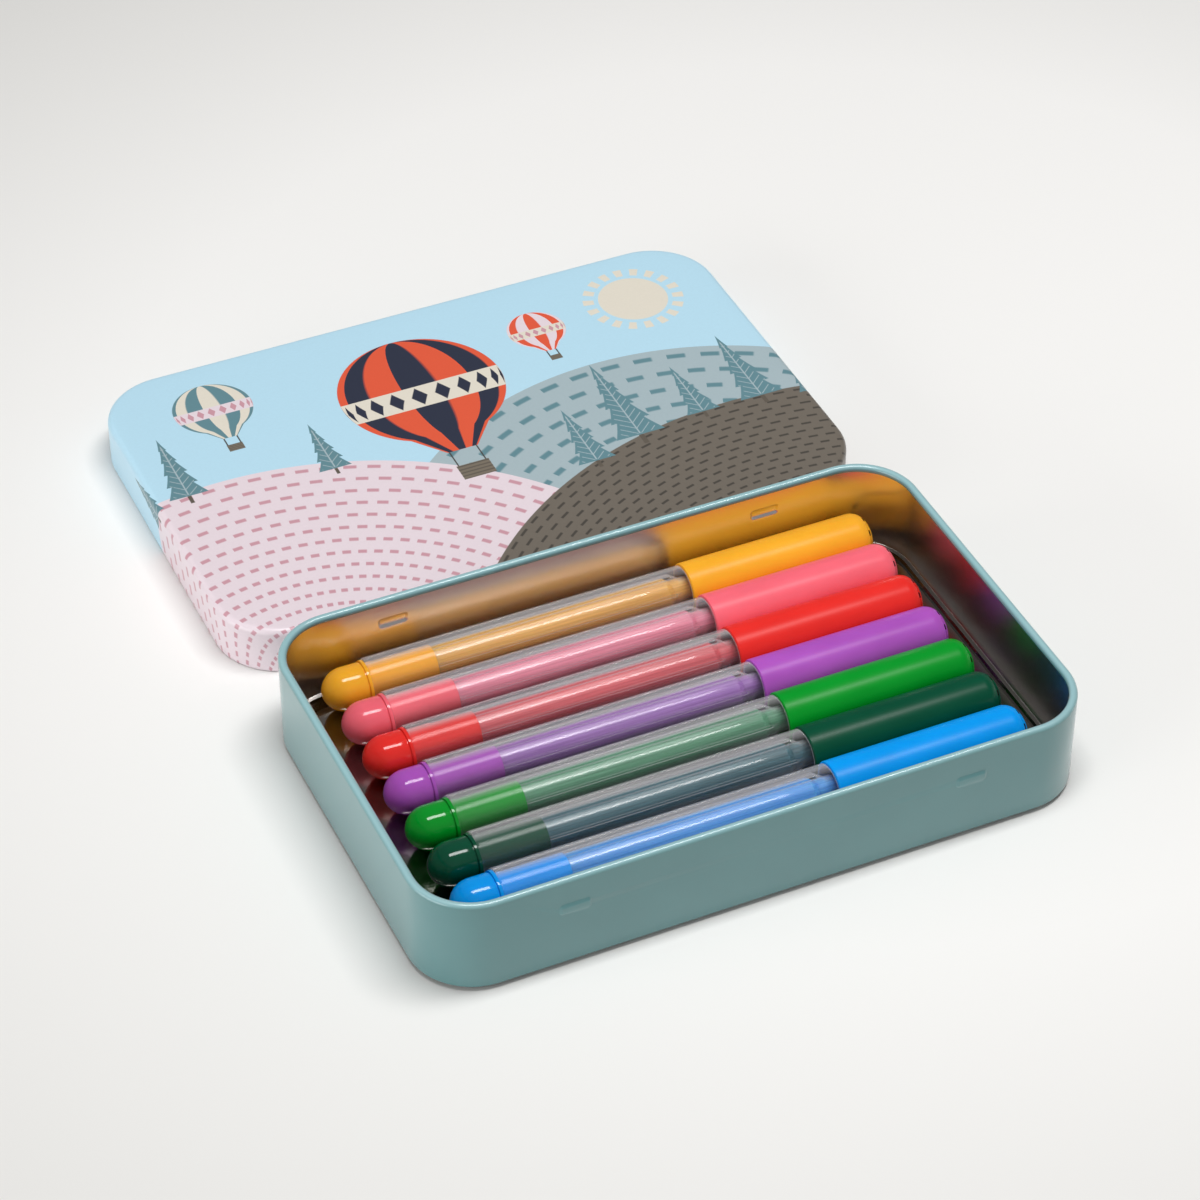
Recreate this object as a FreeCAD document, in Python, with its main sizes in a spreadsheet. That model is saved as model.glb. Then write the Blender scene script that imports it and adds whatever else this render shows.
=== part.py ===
import FreeCAD, Part
import os
import Sketcher
from FreeCAD import Vector

# A flat metal pencil case: a drawn tin base with a curled rim, its lift-off lid lying beside it,
# and the eight felt-tip pens that fill the base. Millimetres, +Z up. The origin is the middle of
# the ground that base and lid cover together. The base lies towards -Y, and the pens' caps
# towards +X.

# Driving dimensions
SIZES = {
    # tin base
    "tin_height": 25.1,
    "tin_corner": 15.0,
    "sheet": 0.25,
    "base_edge": 1.6,
    "foot_width": 4.0,
    "floor_rise": 0.4,
    "floor_slope": 0.6,
    "floor_lap": 2.0,
    "rim_curl": 2.0,
    "dimple_length": 7.6,
    "dimple_height": 3.0,
    "dimple_corner": 1.0,
    "dimple_depth": 0.5,
    "dimple_draft": 25.0,
    "dimple_spacing": 95.0,
    # lid
    "lid_height": 12.5,
    "lid_edge": 1.6,
    "lid_lap": 3.0,
    "lid_curl": 1.5,
    "lid_clearance": 0.25,
    "lid_apart": 10.5,
    "snap_gap": 1.0,
    # how the pens lie in the base
    "pen_gap": 0.25,
    "wall_gap": 0.65,
    "corner_gap": 0.25,
    "plug_end_room": 11.62,
    "pen_rest": 0.05,
    # cap
    "cap_diameter": 12.3,
    "cap_length": 48.6,
    "cap_slip": 0.15,
    "cap_mouth_gap": 0.1,
    "cap_lip": 0.3,
    "cap_shoulder": 4.0,
    "cap_end_wall": 1.6,
    "cap_step": 0.6,
    "cap_step_gap": 1.0,
    "vent_count": 8,
    "vent_length": 1.2,
    "vent_height": 0.8,
    "vent_depth": 3.4,
    # pen barrel
    "barrel_step": 0.4,
    "barrel_length": 80.4,
    "barrel_wall": 1.1,
    "barrel_round": 0.3,
    "throat_length": 2.5,
    "throat_setback": 1.0,
    "neck_step": 0.7,
    "neck_length": 14.0,
    "cone_length": 10.0,
    "cone_wall": 1.15,
    "tip_wall": 0.9,
    "stop_wall": 1.0,
    "rib_count": 6,
    "rib_width": 0.5,
    "rib_root": 0.2,
    # end plug
    "dome_length": 5.6,
    "nose_ease": 0.8,
    "head_step": 0.55,
    "head_straight": 4.2,
    "groove_width": 0.3,
    "groove_depth": 0.25,
    "collar_step": 0.25,
    "collar_width": 0.8,
    "seat_length": 1.8,
    "red_seat_length": 6.3,
    "socket_floor": 4.0,
    "sleeve_length": 12.4,
    "sleeve_wall": 0.5,
    "fixed_fit": 0.05,
    # ink reservoir and nib
    "reservoir_diameter": 5.8,
    "reservoir_slip": 0.15,
    "nib_diameter": 2.3,
    "nib_tail": 8.0,
    "nib_end_gap": 0.2,
    "nib_reach": 4.5,
    "nib_taper": 2.0,
    "nib_point": 0.7,
}
PEN_COLOURS = ["yellow", "pink", "red", "purple", "green", "dark_green", "blue", "navy"]

doc = FreeCAD.newDocument("pencil_case")
sheet = doc.addObject("Spreadsheet::Sheet", "Sizes")
for row, (name, value) in enumerate(SIZES.items(), start=1):
    sheet.set(f"A{row}", name)
    sheet.set(f"B{row}", str(value))
    sheet.setAlias(f"B{row}", name)
doc.recompute()


class Size:
    """A length that carries its formula in the sheet's names, and its present value."""

    def __init__(self, formula, value):
        self.formula = formula
        self.value = value

    def joined(self, sign, other, value):
        right = other.formula if isinstance(other, Size) else str(other)
        return Size(f"({self.formula} {sign} {right})", value)

    def __add__(self, other):
        return self.joined("+", other, self.value + number(other))

    def __sub__(self, other):
        return self.joined("-", other, self.value - number(other))

    def __mul__(self, other):
        return self.joined("*", other, self.value * number(other))

    def __truediv__(self, other):
        return self.joined("/", other, self.value / number(other))

    def __neg__(self):
        return Size(f"(-1 * {self.formula})", -self.value)

    def root(self):
        return Size(f"sqrt({self.formula})", self.value ** 0.5)


def number(size):
    return size.value if isinstance(size, Size) else float(size)


def of(name):
    """The sheet's size of that name."""
    return Size(f"Sizes.{name}", float(sheet.get(name)))


def bind(thing, prop, size):
    thing.setExpression(prop, size.formula)


def new_body(label):
    body = doc.addObject("PartDesign::Body", label)
    body.Label = label
    return body


def origin_feature(body, role):
    return next(item for item in body.Origin.OriginFeatures if item.Role == role)


def new_sketch(body, name, role, level=None):
    """A sketch on one of the body's origin planes, or at a level above it."""
    sketch = body.newObject("Sketcher::SketchObject", name)
    sketch.AttachmentSupport = (origin_feature(body, role), [""])
    sketch.MapMode = "FlatFace"
    if level is not None:
        bind(sketch, "AttachmentOffset.Base.z", level)
    return sketch


def arc_between(start, end, radius, turn):
    """The short arc from start to end; turn is 1 for anticlockwise and -1 for clockwise."""
    chord = end - start
    rise = max(radius ** 2 - chord.Length ** 2 / 4, 0) ** 0.5
    across = Vector(-chord.y, chord.x, 0).normalize()
    centre = (start + end) / 2 + across * rise * turn
    first, last = (start, end) if turn > 0 else (end, start)
    circle = Part.Circle(centre, Vector(0, 0, 1), radius)
    return Part.ArcOfCircle(circle, circle.parameter(first), circle.parameter(last))


def hold(sketch, geometry, end, axis, size):
    """Fix one coordinate of a corner, measured from the sketch's origin."""
    if number(size) == 0:
        axis_line = -2 if axis == "X" else -1
        sketch.addConstraint(Sketcher.Constraint("PointOnObject", geometry, end, axis_line))
        return
    if number(size) > 0:
        points = (-1, 1, geometry, end)
    else:
        points = (geometry, end, -1, 1)
        size = -size
    index = sketch.addConstraint(Sketcher.Constraint("Distance" + axis, *points, size.value))
    bind(sketch, f"Constraints[{index}]", size)


def draw(sketch, corners):
    """Draw a closed outline. A corner is (x, y), reached by a straight line, or
    (x, y, radius, turn), reached by an arc."""
    spots = [Vector(number(corner[0]), number(corner[1]), 0) for corner in corners]
    ends = []
    for step, corner in enumerate(corners):
        start, end = spots[step - 1], spots[step]
        if len(corner) == 2:
            geometry = sketch.addGeometry(Part.LineSegment(start, end), False)
            ends.append((geometry, 1, 2))
            continue
        radius, turn = corner[2:]
        geometry = sketch.addGeometry(arc_between(start, end, radius.value, turn), False)
        ends.append((geometry, 1, 2) if turn > 0 else (geometry, 2, 1))
        index = sketch.addConstraint(Sketcher.Constraint("Radius", geometry, radius.value))
        bind(sketch, f"Constraints[{index}]", radius)
    for step, corner in enumerate(corners):
        geometry, _, last = ends[step]
        following, first, _ = ends[(step + 1) % len(ends)]
        sketch.addConstraint(Sketcher.Constraint("Coincident", geometry, last, following, first))
        hold(sketch, geometry, last, "X", corner[0])
        hold(sketch, geometry, last, "Y", corner[1])


def rounded_rectangle(half_length, half_width, radius):
    """Corners of a rounded rectangle, anticlockwise from the middle of its +X side."""
    along = half_length - radius
    across = half_width - radius
    return [
        (half_length, 0),
        (half_length, across),
        (along, half_width, radius, 1),
        (-along, half_width),
        (-half_length, across, radius, 1),
        (-half_length, -across),
        (-along, -half_width, radius, 1),
        (along, -half_width),
        (half_length, -across, radius, 1),
    ]


def rounded_patch(middle, level, half_length, half_height, radius):
    """Corners of a rounded rectangle about a point."""
    corners = rounded_rectangle(half_length, half_height, radius)
    return [(middle + along, level + up, *arc) for along, up, *arc in corners]


def extrude(body, kind, sketch, length, name):
    """A Pad or Pocket of a sketch."""
    feature = body.newObject("PartDesign::" + kind, name)
    feature.Profile = sketch
    bind(feature, "Length", length)
    return feature


def sweep(body, section, path, name):
    feature = body.newObject("PartDesign::AdditivePipe", name)
    feature.Profile = section
    feature.Spine = path


def turn_about_x(body, corners):
    """A solid turned about the body's X axis from an outline of (along, radius) corners."""
    outline = new_sketch(body, body.Label + "_outline", "XZ_Plane")
    draw(outline, corners)
    feature = body.newObject("PartDesign::Revolution", body.Label + "_turned")
    feature.Profile = outline
    feature.ReferenceAxis = (outline, ["H_Axis"])
    feature.Angle = 360


def repeat_about_x(body, feature, count, name):
    """Copies of a feature spread evenly round the body's X axis."""
    pattern = body.newObject("PartDesign::PolarPattern", name)
    pattern.Originals = [feature]
    pattern.Axis = (origin_feature(body, "X_Axis"), [""])
    pattern.Angle = 360
    bind(pattern, "Occurrences", count)
    body.Tip = pattern


# Places along a pen, counted from the rear face of its barrel, and its radii
gauge = of("sheet")
barrel_end = of("barrel_length")
neck_end = barrel_end + of("neck_length")
cone_end = neck_end + of("cone_length")
core_end = neck_end - of("stop_wall")
cap_mouth = barrel_end + of("cap_mouth_gap")
cap_end = cap_mouth + of("cap_length")
sleeve_end = of("socket_floor") + of("sleeve_length")
collar_start = -of("collar_width")
groove_start = collar_start - of("groove_width")
dome_start = groove_start - of("head_straight")
dome_tip = dome_start - of("dome_length")
cap_radius = of("cap_diameter") / 2
barrel_radius = cap_radius - of("barrel_step")
neck_radius = barrel_radius - of("neck_step")
bore_radius = barrel_radius - of("barrel_wall")
reservoir_radius = of("reservoir_diameter") / 2
core_radius = reservoir_radius + of("reservoir_slip")
nib_radius = of("nib_diameter") / 2
nib_hole = nib_radius + of("fixed_fit")

# The row of pens lies as far towards +X as the base's round corners let the outer caps go
corner_room = of("tin_corner") - gauge - of("cap_shoulder")
towards_corner = corner_room - of("corner_gap")
towards_wall = corner_room - of("wall_gap")
shoulder_reach = (towards_corner * towards_corner - towards_wall * towards_wall).root()
cap_end_room = of("tin_corner") - shoulder_reach - of("cap_shoulder")

# The tin is made to the pens: their row and length, and the room left round them
pen_count = len(PEN_COLOURS)
pen_pitch = of("cap_diameter") + of("pen_gap")
row_width = pen_pitch * (pen_count - 1) + of("cap_diameter")
half_length = (cap_end - dome_tip + of("plug_end_room") + gauge + cap_end_room) / 2
half_width = row_width / 2 + of("wall_gap") + gauge
caps_end_x = half_length - cap_end_room
lid_margin = of("lid_clearance") + of("lid_curl")
lid_half_length = half_length + lid_margin
lid_half_width = half_width + lid_margin
ground_depth = of("dimple_depth") + half_width * 2 + of("lid_apart") + lid_half_width * 2
base_y = of("dimple_depth") + half_width - ground_depth / 2
lid_y = ground_depth / 2 - lid_half_width
skirt_level = of("tin_height") + gauge - of("lid_height")
dimple_level = skirt_level + of("lid_curl") + of("snap_gap") + of("dimple_height") / 2


def make_tin_base():
    """The base: a flat ring to stand on, a slightly raised floor, upright walls and a rim that is
    curled inwards. Two dimples in each long wall are pressed outwards to hold the lid."""
    body = new_body("tin_base")
    path = new_sketch(body, "base_path", "XY_Plane")
    draw(path, rounded_rectangle(half_length, half_width, of("tin_corner")))

    edge = of("base_edge")
    rise = of("floor_rise")
    rim = of("tin_height")
    curl = of("rim_curl") / 2
    inner_curl = curl - gauge
    curl_x = half_length - curl
    curl_level = rim - curl
    foot_start = half_length - of("foot_width")
    floor_start = foot_start - of("floor_slope")
    lap_start = floor_start - of("floor_lap")
    section = new_sketch(body, "base_wall_section", "XZ_Plane")
    draw(section, [
        (lap_start, rise),
        (floor_start, rise),
        (foot_start, 0),
        (half_length - edge, 0),
        (half_length, edge, edge, 1),
        (half_length, curl_level),
        (curl_x, rim, curl, 1),
        (curl_x - curl, curl_level, curl, 1),
        (curl_x, curl_level - curl, curl, 1),
        (curl_x, curl_level - inner_curl),
        (curl_x - inner_curl, curl_level, inner_curl, -1),
        (curl_x, curl_level + inner_curl, inner_curl, -1),
        (half_length - gauge, curl_level, inner_curl, -1),
        (half_length - gauge, edge),
        (half_length - edge, gauge, edge - gauge, -1),
        (foot_start, gauge),
        (floor_start, rise + gauge),
        (lap_start, rise + gauge),
    ])
    sweep(body, section, path, "base_walls")

    inset = half_length - lap_start - of("floor_lap") / 2
    panel = new_sketch(body, "base_floor_outline", "XY_Plane", rise)
    panel_corner = of("tin_corner") - inset
    draw(panel, rounded_rectangle(half_length - inset, half_width - inset, panel_corner))
    extrude(body, "Pad", panel, gauge, "base_floor")

    half_spacing = of("dimple_spacing") / 2
    reach = of("dimple_length") / 2
    half_height = of("dimple_height") / 2
    corner = of("dimple_corner")
    pressed = []
    for side, middle in (("left", -half_spacing), ("right", half_spacing)):
        outside = new_sketch(body, f"dimple_{side}_outside", "XZ_Plane", half_width - gauge)
        draw(outside, rounded_patch(middle, dimple_level, reach, half_height, corner))
        raised = extrude(body, "Pad", outside, gauge + of("dimple_depth"), f"dimple_{side}")
        bind(raised, "TaperAngle", -of("dimple_draft"))
        inside = new_sketch(body, f"dimple_{side}_inside", "XZ_Plane", half_width - gauge)
        hollow = (reach - gauge, half_height - gauge, corner - gauge)
        draw(inside, rounded_patch(middle, dimple_level, *hollow))
        sunk = extrude(body, "Pocket", inside, of("dimple_depth"), f"dimple_{side}_hollow")
        sunk.Reversed = True
        bind(sunk, "TaperAngle", -of("dimple_draft"))
        pressed += [raised, sunk]
    back = body.newObject("PartDesign::Mirrored", "dimples_back")
    back.Originals = pressed
    back.MirrorPlane = (origin_feature(body, "XZ_Plane"), [""])
    body.Tip = back
    bind(body, "Placement.Base.y", base_y)
    return body


def make_tin_lid():
    """The lid: a flat top, a rounded edge, and a skirt whose lower edge is curled inwards, so that
    it slides over the base's wall and snaps in under the dimples."""
    body = new_body("tin_lid")
    corner = of("tin_corner") + lid_margin
    path = new_sketch(body, "lid_path", "XY_Plane")
    draw(path, rounded_rectangle(lid_half_length, lid_half_width, corner))

    edge = of("lid_edge")
    top = of("lid_height")
    curl = of("lid_curl") / 2
    inner_curl = curl - gauge
    curl_x = lid_half_length - curl
    lap_start = lid_half_length - edge - of("lid_lap")
    section = new_sketch(body, "lid_skirt_section", "XZ_Plane")
    draw(section, [
        (lap_start, top - gauge),
        (lid_half_length - edge, top - gauge),
        (lid_half_length - gauge, top - edge, edge - gauge, -1),
        (lid_half_length - gauge, curl),
        (curl_x, gauge, inner_curl, -1),
        (curl_x - inner_curl, curl, inner_curl, -1),
        (curl_x, curl + inner_curl, inner_curl, -1),
        (curl_x, curl * 2),
        (curl_x - curl, curl, curl, 1),
        (curl_x, 0, curl, 1),
        (lid_half_length, curl, curl, 1),
        (lid_half_length, top - edge),
        (lid_half_length - edge, top, edge, 1),
        (lap_start, top),
    ])
    sweep(body, section, path, "lid_skirt")

    inset = edge + of("lid_lap") / 2
    panel = new_sketch(body, "lid_top_outline", "XY_Plane", top - gauge)
    draw(panel, rounded_rectangle(lid_half_length - inset, lid_half_width - inset, corner - inset))
    extrude(body, "Pad", panel, gauge, "lid_top")
    bind(body, "Placement.Base.y", lid_y)
    return body


def make_barrel(label):
    """The clear barrel, moulded in one piece with the neck under the cap and the cone that grips
    the nib. Ribs in its bore keep the ink reservoir in the middle."""
    body = new_body(label)
    edge = of("barrel_round")
    throat_end = barrel_end - of("throat_setback")
    throat_start = throat_end - of("throat_length")
    turn_about_x(body, [
        (0, bore_radius),
        (0, barrel_radius - edge),
        (edge, barrel_radius, edge, -1),
        (barrel_end - edge, barrel_radius),
        (barrel_end, barrel_radius - edge, edge, -1),
        (barrel_end, neck_radius),
        (neck_end, neck_radius),
        (neck_end, core_radius + of("cone_wall")),
        (cone_end, nib_hole + of("tip_wall")),
        (cone_end, nib_hole),
        (core_end, nib_hole),
        (core_end, core_radius),
        (throat_end, core_radius),
        (throat_start, bore_radius),
    ])
    half_rib = of("rib_width") / 2
    rib_foot = bore_radius + of("rib_root")
    outline = new_sketch(body, label + "_rib_outline", "YZ_Plane", sleeve_end)
    draw(outline, [
        (half_rib, core_radius),
        (half_rib, rib_foot),
        (-half_rib, rib_foot),
        (-half_rib, core_radius),
    ])
    rib = extrude(body, "Pad", outline, throat_end - sleeve_end, label + "_rib")
    repeat_about_x(body, rib, of("rib_count"), label + "_ribs")
    return body


def make_end_plug(label, seat_end):
    """The end plug: a domed head against the barrel's rear face, a seat in the bore and a sleeve
    that holds the rear end of the ink reservoir."""
    body = new_body(label)
    head = barrel_radius - of("head_step")
    collar = head + of("collar_step")
    groove_floor = head - of("groove_depth")
    dome = of("dome_length")
    nose = head - of("nose_ease")
    flank = ((dome - nose) * (dome - nose) + head * head - nose * nose) / ((head - nose) * 2)
    nose_end_x = dome_tip + nose - nose * (dome - nose) / (flank - nose)
    nose_end_r = nose * (flank - head) / (flank - nose)
    socket = reservoir_radius + of("fixed_fit")
    sleeve = socket + of("sleeve_wall")
    seat = bore_radius - of("fixed_fit")
    socket_floor = of("socket_floor")
    turn_about_x(body, [
        (dome_tip, 0),
        (nose_end_x, nose_end_r, nose, -1),
        (dome_start, head, flank, -1),
        (groove_start, head),
        (groove_start, groove_floor),
        (collar_start, groove_floor),
        (collar_start, collar),
        (0, collar),
        (0, seat),
        (seat_end, seat),
        (seat_end, sleeve),
        (sleeve_end, sleeve),
        (sleeve_end, socket),
        (socket_floor, socket),
        (socket_floor, 0),
    ])
    return body


def make_ink_reservoir(label):
    """The ink reservoir: a fibre rod from the plug's socket to the stop in the neck, bored at the
    front for the nib's tail."""
    body = new_body(label)
    rear = of("socket_floor")
    hole_end = core_end - of("nib_tail") - of("nib_end_gap")
    turn_about_x(body, [
        (rear, 0),
        (rear, reservoir_radius),
        (core_end, reservoir_radius),
        (core_end, nib_hole),
        (hole_end, nib_hole),
        (hole_end, 0),
    ])
    return body


def make_nib(label):
    """The fibre nib: a rod in the cone's bore, with its tail in the reservoir and a bullet tip."""
    body = new_body(label)
    tail = core_end - of("nib_tail")
    tip = cone_end + of("nib_reach")
    point = of("nib_point")
    turn_about_x(body, [
        (tail, 0),
        (tail, nib_radius),
        (tip - of("nib_taper"), nib_radius),
        (tip - point, point),
        (tip, 0, point, -1),
    ])
    return body


def make_cap(label):
    """The cap: a push fit over the neck, stepped inside, with a rounded end and a ring of slots
    that let air through."""
    body = new_body(label)
    lip = of("cap_lip")
    shoulder = of("cap_shoulder")
    bore = neck_radius + of("cap_slip")
    inner = bore - of("cap_step")
    step_place = neck_end + of("cap_step_gap")
    inner_end = cap_end - of("cap_end_wall")
    turn_about_x(body, [
        (cap_mouth, bore),
        (cap_mouth, cap_radius - lip),
        (cap_mouth + lip, cap_radius, lip, -1),
        (cap_end - shoulder, cap_radius),
        (cap_end, cap_radius - shoulder, shoulder, -1),
        (cap_end, 0),
        (inner_end, 0),
        (inner_end, inner),
        (step_place, inner),
        (step_place, bore),
    ])
    half_slot = of("vent_length") / 2
    vent_low = inner - of("vent_height") / 2
    vent_high = inner + of("vent_height") / 2
    outline = new_sketch(body, label + "_vent_outline", "YZ_Plane", cap_end)
    draw(outline, [
        (half_slot, vent_low),
        (half_slot, vent_high),
        (-half_slot, vent_high),
        (-half_slot, vent_low),
    ])
    vent = extrude(body, "Pocket", outline, of("vent_depth"), label + "_vent")
    repeat_about_x(body, vent, of("vent_count"), label + "_vents")
    return body


def lay_in_base(piece, order):
    """Put a pen's piece at its place in the row, counted from the back wall."""
    from_middle = (pen_count - 1) / 2 - order
    bind(piece, "Placement.Base.x", caps_end_x - cap_end)
    bind(piece, "Placement.Base.y", base_y + pen_pitch * from_middle)
    bind(piece, "Placement.Base.z", of("floor_rise") + gauge + of("pen_rest") + cap_radius)


parts = [make_tin_base(), make_tin_lid()]
for order, colour in enumerate(PEN_COLOURS):
    seat_length = of("red_seat_length" if colour == "red" else "seat_length")
    pen = [
        make_barrel(f"{colour}_barrel"),
        make_end_plug(f"{colour}_end_plug", seat_length),
        make_ink_reservoir(f"{colour}_ink_reservoir"),
        make_nib(f"{colour}_nib"),
        make_cap(f"{colour}_cap"),
    ]
    for piece in pen:
        lay_in_base(piece, order)
    parts += pen
doc.recompute()

for item in doc.Objects:
    if "Invalid" in item.State or "Error" in item.State:
        raise RuntimeError(f"{item.Label}: {item.State}")
for part in parts:
    if part.Shape.isNull() or not part.Shape.isValid():
        raise RuntimeError(f"{part.Label} has no valid shape")

os.makedirs("parts", exist_ok=True)
for part in parts:
    part.Shape.exportStep(f"parts/{part.Label}.step")
    print(part.Label, len(part.Shape.Solids), round(part.Shape.Volume, 2))
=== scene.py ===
import math

import bmesh
import bpy
from mathutils import Matrix, Vector


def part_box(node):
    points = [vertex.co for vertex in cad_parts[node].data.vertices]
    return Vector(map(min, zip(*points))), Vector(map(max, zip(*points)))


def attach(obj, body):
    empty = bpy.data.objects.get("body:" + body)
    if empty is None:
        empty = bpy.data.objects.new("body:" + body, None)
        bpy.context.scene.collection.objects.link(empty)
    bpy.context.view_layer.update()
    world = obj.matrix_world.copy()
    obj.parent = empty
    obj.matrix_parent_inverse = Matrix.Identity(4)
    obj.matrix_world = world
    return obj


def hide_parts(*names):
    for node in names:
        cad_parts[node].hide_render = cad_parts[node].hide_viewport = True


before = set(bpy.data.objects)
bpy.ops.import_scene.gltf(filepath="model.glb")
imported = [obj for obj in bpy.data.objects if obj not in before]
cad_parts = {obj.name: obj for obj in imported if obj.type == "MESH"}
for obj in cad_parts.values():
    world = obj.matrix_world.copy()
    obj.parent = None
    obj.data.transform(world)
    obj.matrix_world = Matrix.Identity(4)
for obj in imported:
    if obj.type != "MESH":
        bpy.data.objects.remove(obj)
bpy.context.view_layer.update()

# Tin base
# The base is drawn from thin tinplate: a set-back foot ring, a slightly raised floor, upright walls and
# a rim curled inwards. Four small dimples are pressed outwards in the long walls to hold the lid. It is
# enamelled outside and all round the curl, and bare inside. The foot is painted dark as painted shade,
# the curl is painted paler as a painted highlight, and the bare floor is painted darker as painted shade.
base_low, base_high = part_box("tin_base")
base_middle = (base_low + base_high) / 2
dimple_depth = 0.0005
dimple_length = 0.0076
dimple_height = 0.003
dimple_corner = 0.001
dimple_spacing = 0.095
dimple_level = 0.01685
# how far each step of a dimple goes in from its outline, and how far outwards
dimple_steps = ((0.00006, 0.00003), (0.00046, 0.0004), (0.00016, 0.00007))
sheet = 0.00025
base_half_length = (base_high.x - base_low.x) / 2
base_half_width = (base_high.y - base_low.y) / 2 - dimple_depth
base_corner = 0.015
base_edge = 0.0003
floor_rise = 0.0004
floor_inset = 0.0066
step_inset = 0.0046
ring_inset = 0.004
foot_inset = 0.0012
foot_rise = 0.001
ledge_inset = 0.001
ledge_rise = foot_rise + 0.0001
rim_radius = 0.001
rim_level = base_high.z - rim_radius


def run_to(bm, end, x, z):
    """Carry a section on in a straight line."""
    point = bmesh.ops.extrude_vert_indiv(bm, verts=[end])["verts"][0]
    point.co = (x, 0, z)
    return point


def curl_about(bm, end, x, z, degrees, steps):
    """Carry a section on in an arc about a point."""
    made = bmesh.ops.spin(
        bm, geom=[end], cent=(x, 0, z), axis=(0, 1, 0), angle=math.radians(degrees), steps=steps
    )
    return next(item for item in made["geom_last"] if isinstance(item, bmesh.types.BMVert))


def take_round(bm, half_length, half_width, corner):
    """Draw a section out along the four sides of a tin, with a quarter turn at each corner."""
    along = half_length - corner
    across = half_width - corner
    sides = [
        ((0, across, 0), (along, across, 0)),
        ((-2 * along, 0, 0), (-along, across, 0)),
        ((0, -2 * across, 0), (-along, -across, 0)),
        ((2 * along, 0, 0), (along, -across, 0)),
        ((0, across, 0), None),
    ]
    drawn = bm.verts[:] + bm.edges[:]
    for shift, centre in sides:
        made = bmesh.ops.spin(
            bm, geom=drawn, cent=(0, 0, 0), axis=(0, 0, 1), dvec=shift, angle=0, steps=1
        )
        drawn = made["geom_last"]
        if centre:
            made = bmesh.ops.spin(
                bm, geom=drawn, cent=centre, axis=(0, 0, 1), angle=math.pi / 2, steps=16
            )
            drawn = made["geom_last"]
    bmesh.ops.remove_doubles(bm, verts=bm.verts, dist=0.000002)


def close_panel(bm, level):
    """Close the flat floor or top that the drawn section leaves open."""
    same_level = 0.00001
    edges = [edge for edge in bm.edges if edge.is_boundary]
    ring = [edge for edge in edges if all(abs(v.co.z - level) < same_level for v in edge.verts)]
    bmesh.ops.contextual_create(bm, geom=ring)
    bmesh.ops.recalc_face_normals(bm, faces=bm.faces)
    side = max(bm.faces, key=lambda face: face.calc_center_median().x)
    if side.normal.x < 0:
        bmesh.ops.reverse_faces(bm, faces=bm.faces)


def whole(faces):
    """Faces together with their edges and corners."""
    edges = {edge for face in faces for edge in face.edges}
    corners = {corner for face in faces for corner in face.verts}
    return list(faces) + list(edges) + list(corners)


def press_dimple(bm, side, middle):
    """Press one dimple outwards in a long wall."""
    half_length = dimple_length / 2
    half_height = dimple_height / 2
    square_on = 0.999
    smallest_area = 0.000003
    aim = Vector((middle, side * base_half_width, dimple_level))

    def wall():
        """The large flat faces of the long wall."""
        near = [face for face in bm.faces if face.normal.y * side > square_on]
        return [face for face in near if face.calc_area() > smallest_area]

    def strip():
        """The faces of the wall above, at and below the dimple's place."""
        return [face for face in wall() if abs(face.calc_center_median().x - middle) < half_length]

    def patch():
        """The face at the dimple's place."""
        return min(bm.faces, key=lambda face: (face.calc_center_median() - aim).length)

    for x in (middle - half_length, middle + half_length):
        bmesh.ops.bisect_plane(bm, geom=whole(wall()), plane_co=(x, 0, 0), plane_no=(1, 0, 0))
    for z in (dimple_level - half_height, dimple_level + half_height):
        bmesh.ops.bisect_plane(bm, geom=whole(strip()), plane_co=(0, 0, z), plane_no=(0, 0, 1))
    bmesh.ops.bevel(
        bm, geom=patch().verts[:], offset=dimple_corner, affect="VERTICES", segments=5, profile=0.5,
        material=-1
    )
    pressed = patch()
    for inset, rise in dimple_steps:
        bmesh.ops.inset_region(bm, faces=[pressed], thickness=inset, depth=rise, use_even_offset=True)


def as_piece(bm, name, body, node, slot, *finishes):
    """Make the piece that stands for a node and moves with its body."""
    mesh = bpy.data.meshes.new(name)
    bm.to_mesh(mesh)
    bm.free()
    mesh.shade_smooth()
    mesh.set_sharp_from_angle(angle=math.radians(40))
    for finish in finishes:
        mesh.materials.append(finish)
    piece = bpy.data.objects.new(name, mesh)
    bpy.context.scene.collection.objects.link(piece)
    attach(piece, body)
    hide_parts(node)
    return piece


def give_thickness(piece):
    """Give drawn sheet its thickness. Its inside has the finish after the one outside."""
    wall = piece.modifiers.new("sheet", "SOLIDIFY")
    wall.thickness = sheet
    wall.offset = -1
    wall.use_even_offset = True
    wall.material_offset = 1
    wall.material_offset_rim = 1


def tint(red, green, blue):
    """A colour as it looks on screen, in the shader's own numbers."""
    darkest = 10
    linear = [
        ((c / 255 + 0.055) / 1.055) ** 2.4 if c > darkest else c / 255 / 12.92
        for c in (red, green, blue)
    ]
    return (*linear, 1.0)


def new_finish(name, **values):
    """A finish, with plain values for its shader."""
    finish = bpy.data.materials.new(name)
    finish.use_nodes = True
    shader = finish.node_tree.nodes["Principled BSDF"]
    for socket, value in values.items():
        shader.inputs[socket.replace("_", " ")].default_value = value
    return finish


def add(finish, kind, inputs, **settings):
    """Add a node to a finish. An input is a value, or the output that feeds it."""
    made = finish.node_tree.nodes.new("ShaderNode" + kind)
    for name, value in settings.items():
        setattr(made, name, value)
    for socket, value in inputs.items():
        if isinstance(value, bpy.types.NodeSocket):
            finish.node_tree.links.new(value, made.inputs[socket])
        else:
            made.inputs[socket].default_value = value
    return made


def feed(finish, socket, output):
    """Feed one of the shader's sockets."""
    shader = finish.node_tree.nodes["Principled BSDF"]
    finish.node_tree.links.new(output, shader.inputs[socket])


def own_place(finish):
    """The piece's own coordinates."""
    return add(finish, "TexCoord", {}).outputs["Object"]


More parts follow.
